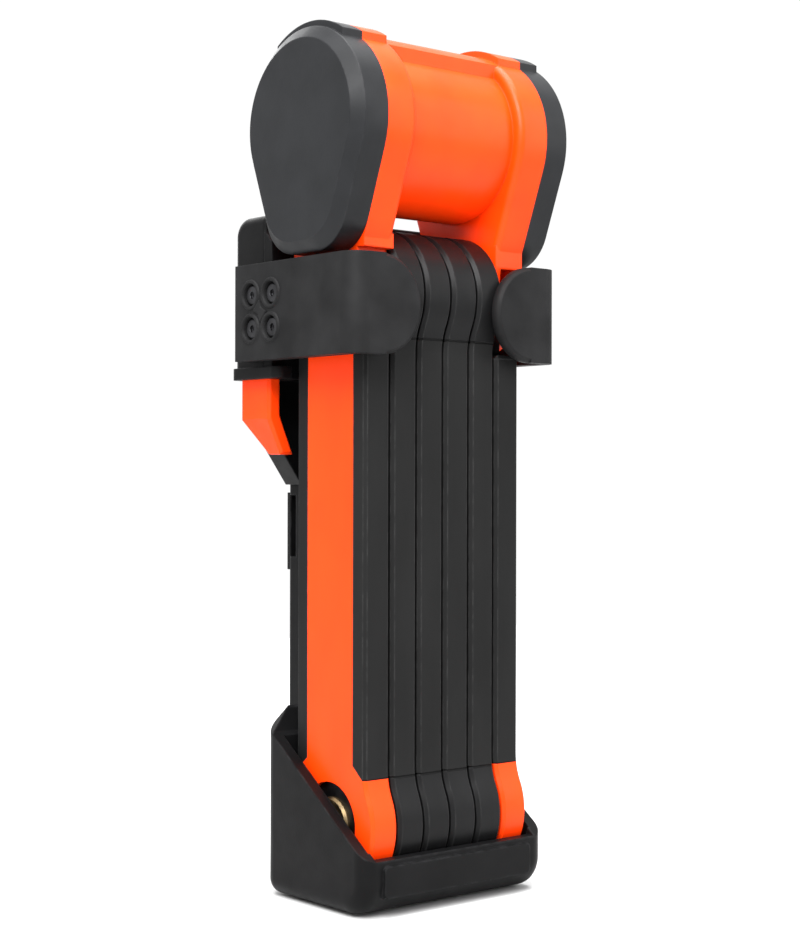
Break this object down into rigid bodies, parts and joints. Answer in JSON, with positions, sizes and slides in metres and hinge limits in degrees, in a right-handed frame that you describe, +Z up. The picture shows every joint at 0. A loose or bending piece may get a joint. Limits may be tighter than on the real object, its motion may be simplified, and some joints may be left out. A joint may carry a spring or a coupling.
{
  "type": "folding bike lock with carrier",
  "caption": "Folding bike lock stored in its frame carrier: riveted flat steel links under a barrel-shaped lock head.",
  "frame": {"origin": "middle of the cup's flat underside, below the lower rivets", "axes": "+X across the stack of links from the striped outer link, -Y the open front, +Y the side that bolts to the bike frame, +Z up to the lock head"},
  "size_m": [0.0739, 0.0605, 0.2171],
  "materials": {
    "orange_plastic": "satin orange moulding",
    "black_plastic": "fine-grained black moulding",
    "black_sleeve": "smooth satin black sleeve",
    "rubber": "mottled soft black rubber",
    "steel": "ground hardened steel",
    "dark_steel": "black oxide",
    "zinc_steel": "yellow zinc plate, worn",
    "brass": "machined brass"
  },
  "bodies": {
    "carrier": {"base_cup": "black_plastic", "cup_screws": "steel", "back_rail": "black_plastic", "frame_pad": "rubber", "head_block": "black_plastic", "head_screws": "steel", "strap_arm_left": "rubber", "strap_arm_right": "rubber", "strap_screws": "dark_steel", "lever_pin": "steel"},
    "release_lever": {"release_lever": "orange_plastic", "lever_spring": "steel"},
    "link_1": {"link_1_bar": "steel", "link_1_cover": "orange_plastic", "link_1_sleeve": "black_sleeve", "rivet_12": "zinc_steel", "spacer_12": "steel"},
    "link_2": {"link_2_bar": "steel", "link_2_cover": "black_plastic", "link_2_sleeve": "black_sleeve", "rivet_23": "zinc_steel", "spacer_23": "steel"},
    "link_3": {"link_3_bar": "steel", "link_3_cover": "black_plastic", "link_3_sleeve": "black_sleeve", "rivet_34": "zinc_steel", "spacer_34": "steel"},
    "link_4": {"link_4_bar": "steel", "link_4_cover": "black_plastic", "link_4_sleeve": "black_sleeve", "rivet_45": "zinc_steel", "spacer_45": "steel"},
    "link_5": {"link_5_bar": "steel", "link_5_cover": "black_plastic", "link_5_sleeve": "black_sleeve", "rivet_56": "zinc_steel", "spacer_56": "steel"},
    "link_6": {"link_6_bar": "steel", "link_6_cover": "orange_plastic", "link_6_sleeve": "black_sleeve"},
    "lock_body": {"lock_housing": "orange_plastic", "end_cap_left": "black_plastic", "end_cap_right": "black_plastic", "pivot_pin": "steel", "cylinder_shell": "brass", "dust_cover_stud": "steel"},
    "core": {"core_plug": "brass", "disc_pack": "brass", "drive_cam": "steel"},
    "bolt": {"lock_bolt": "steel"},
    "dust_cover": {"dust_cover": "black_plastic"}
  },
  "joints": [
    {"name": "lift", "type": "slide", "parent": "carrier", "child": "link_1", "axis": [0, 0, 1], "range_m": [0, 0.16]},
    {"name": "body_swing", "type": "hinge", "parent": "link_1", "child": "lock_body", "pos_m": [-0.0215, 0, 0.1507], "axis": [1, 0, 0], "range_deg": [-75, 75]},
    {"name": "rivet_12_turn", "type": "hinge", "parent": "link_1", "child": "link_2", "pos_m": [-0.0172, 0, 0.0202], "axis": [1, 0, 0], "range_deg": [-175, 175]},
    {"name": "rivet_23_turn", "type": "hinge", "parent": "link_2", "child": "link_3", "pos_m": [-0.0086, 0, 0.1507], "axis": [1, 0, 0], "range_deg": [-175, 175]},
    {"name": "rivet_34_turn", "type": "hinge", "parent": "link_3", "child": "link_4", "pos_m": [0, 0, 0.0202], "axis": [1, 0, 0], "range_deg": [-175, 175]},
    {"name": "rivet_45_turn", "type": "hinge", "parent": "link_4", "child": "link_5", "pos_m": [0.0086, 0, 0.1507], "axis": [1, 0, 0], "range_deg": [-175, 175]},
    {"name": "rivet_56_turn", "type": "hinge", "parent": "link_5", "child": "link_6", "pos_m": [0.0172, 0, 0.0202], "axis": [1, 0, 0], "range_deg": [-175, 175]},
    {"name": "lever_swing", "type": "hinge", "parent": "carrier", "child": "release_lever", "pos_m": [-0.0264, 0.028, 0.137], "axis": [0, 1, 0], "range_deg": [0, 5], "stiffness_Nm_per_rad": 0.1, "springref_deg": -17.19},
    {"name": "key_turn", "type": "hinge", "parent": "lock_body", "child": "core", "pos_m": [0, 0, 0.1922], "axis": [1, 0, 0], "range_deg": [0, 90]},
    {"name": "bolt_slide", "type": "slide", "parent": "lock_body", "child": "bolt", "axis": [0, 0, -1], "range_m": [0, 0.008]},
    {"name": "cover_swing", "type": "hinge", "parent": "lock_body", "child": "dust_cover", "pos_m": [0.0365, 0, 0.207], "axis": [1, 0, 0], "range_deg": [0, 100]}
  ],
  "couplings": [
    {"joint": "body_swing", "follows": "lift", "rad_per_m": -5},
    {"joint": "rivet_12_turn", "follows": "lift", "rad_per_m": 0.25},
    {"joint": "rivet_23_turn", "follows": "lift", "rad_per_m": -4.95},
    {"joint": "rivet_34_turn", "follows": "lift", "rad_per_m": -0.1},
    {"joint": "rivet_45_turn", "follows": "lift", "rad_per_m": 4.95},
    {"joint": "rivet_56_turn", "follows": "lift", "rad_per_m": -0.15},
    {"joint": "key_turn", "follows": "bolt_slide", "rad_per_m": 196.35}
  ]
}
